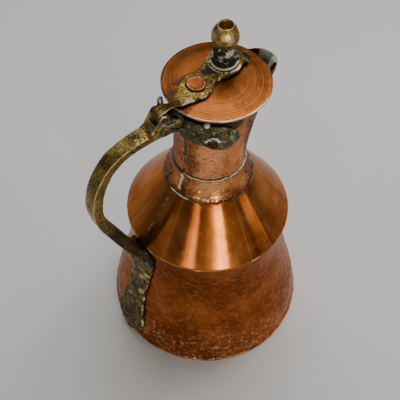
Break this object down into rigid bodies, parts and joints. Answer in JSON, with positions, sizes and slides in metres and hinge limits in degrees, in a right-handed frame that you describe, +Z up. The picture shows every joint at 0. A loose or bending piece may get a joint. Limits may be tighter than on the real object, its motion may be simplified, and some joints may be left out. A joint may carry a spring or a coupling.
{
  "type": "pitcher with lid",
  "caption": "Round-based metal pitcher with conical shoulder, narrow neck, drawn pouring lip, bow handle and hinged lid with finial.",
  "frame": {"origin": "centre of the round foot, on the surface that the pitcher stands on", "axes": "+Z up along the body's axis; +X towards the pouring lip, so the handle is at -X; the lid's hinge line is parallel to Y"},
  "size_m": [0.1894, 0.17, 0.3028],
  "materials": {
    "body_copper": "hammered copper, satin brown-red patina",
    "shoulder_copper": "polished copper with fine dark pits",
    "neck_copper": "hammered copper, warm red",
    "lid_copper": "spun copper with fine concentric rings, satin",
    "handle_brass": "aged cast brass, dark pits, worn bright ridges",
    "bracket_brass": "rough cast brass with verdigris",
    "pin_brass": "dull tarnished wire",
    "rivet_copper": "hammered copper rivet, worn",
    "solder": "dull tin solder with dark residue"
  },
  "bodies": {
    "pitcher": {"base_plate": "body_copper", "lower_body": "body_copper", "shoulder_cone": "shoulder_copper", "shoulder_seam": "solder", "neck_collar": "neck_copper", "collar_foot_solder": "solder", "collar_top_solder": "solder", "neck_tube": "neck_copper", "neck_seam": "solder", "neck_bracket": "bracket_brass", "bracket_rivets": "rivet_copper", "bracket_solder": "solder", "handle_bow": "handle_brass", "handle_leaf": "bracket_brass", "leaf_rivet": "rivet_copper", "hinge_pin": "pin_brass"},
    "lid": {"lid_disc": "lid_copper", "lid_strap": "handle_brass", "lid_rivet": "rivet_copper", "lid_rivet_rove": "rivet_copper", "finial_cup": "handle_brass", "finial_solder": "solder", "finial_knob": "handle_brass"}
  },
  "joints": [
    {"name": "lid_hinge", "type": "hinge", "parent": "pitcher", "child": "lid", "pos_m": [-0.0425, 0, 0.257], "axis": [0, -1, 0], "range_deg": [0, 135]}
  ]
}
